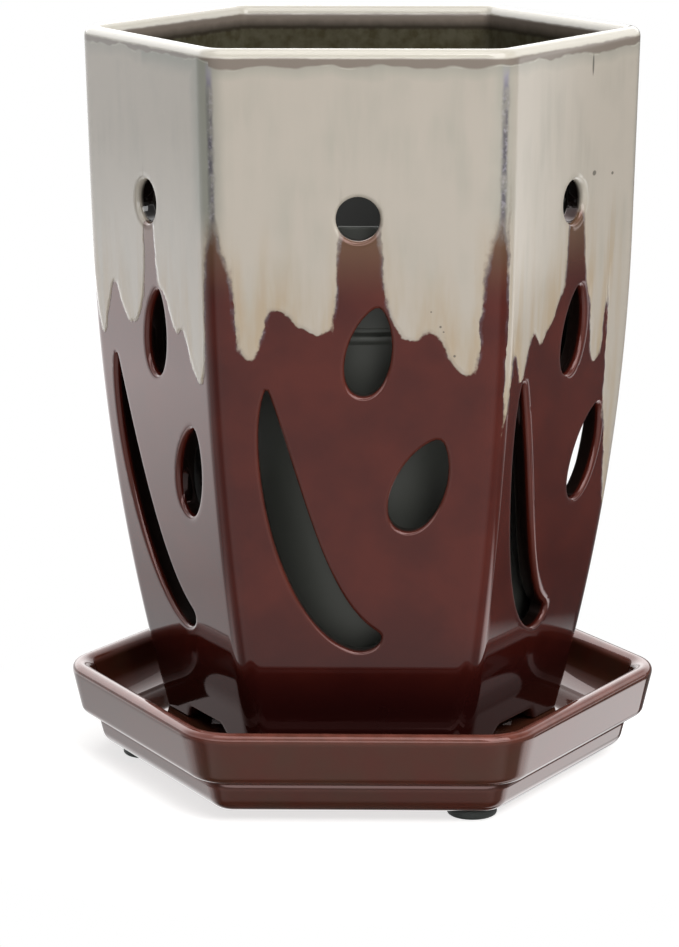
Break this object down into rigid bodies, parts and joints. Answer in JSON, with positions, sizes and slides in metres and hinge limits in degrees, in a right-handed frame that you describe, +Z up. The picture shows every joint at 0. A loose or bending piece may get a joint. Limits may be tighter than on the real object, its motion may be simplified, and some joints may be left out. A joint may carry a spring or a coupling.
{
  "type": "orchid pot with slots",
  "caption": "Hexagonal two-tone glazed ceramic orchid pot with cut-out sides, standing in a matching saucer, with a plastic nursery pot inside.",
  "frame": {"origin": "on the ground at the centre of the saucer, where the middle of the object's base is", "axes": "+Z up along the pot's axis; the front face looks along -Y; two corners of the hexagon lie on the X axis"},
  "size_m": [0.1212, 0.108, 0.1524],
  "materials": {
    "two_tone_glaze": "glossy reactive glaze, cream running down over red-brown",
    "brown_glaze": "glossy red-brown glaze",
    "nursery_plastic": "matt dark grey plastic",
    "foot_rubber": "matt dark rubber"
  },
  "bodies": {
    "saucer": {"saucer": "brown_glaze", "rubber_foot_left": "foot_rubber", "rubber_foot_front": "foot_rubber", "rubber_foot_rear": "foot_rubber"},
    "slotted_pot": {"slotted_pot": "two_tone_glaze"},
    "nursery_pot": {"nursery_pot": "nursery_plastic"}
  },
  "joints": [
    {"name": "pot_lift", "type": "slide", "parent": "saucer", "child": "slotted_pot", "axis": [0, 0, 1], "range_m": [0, 0.06]},
    {"name": "nursery_pot_lift", "type": "slide", "parent": "slotted_pot", "child": "nursery_pot", "axis": [0, 0, 1], "range_m": [0, 0.14]}
  ]
}
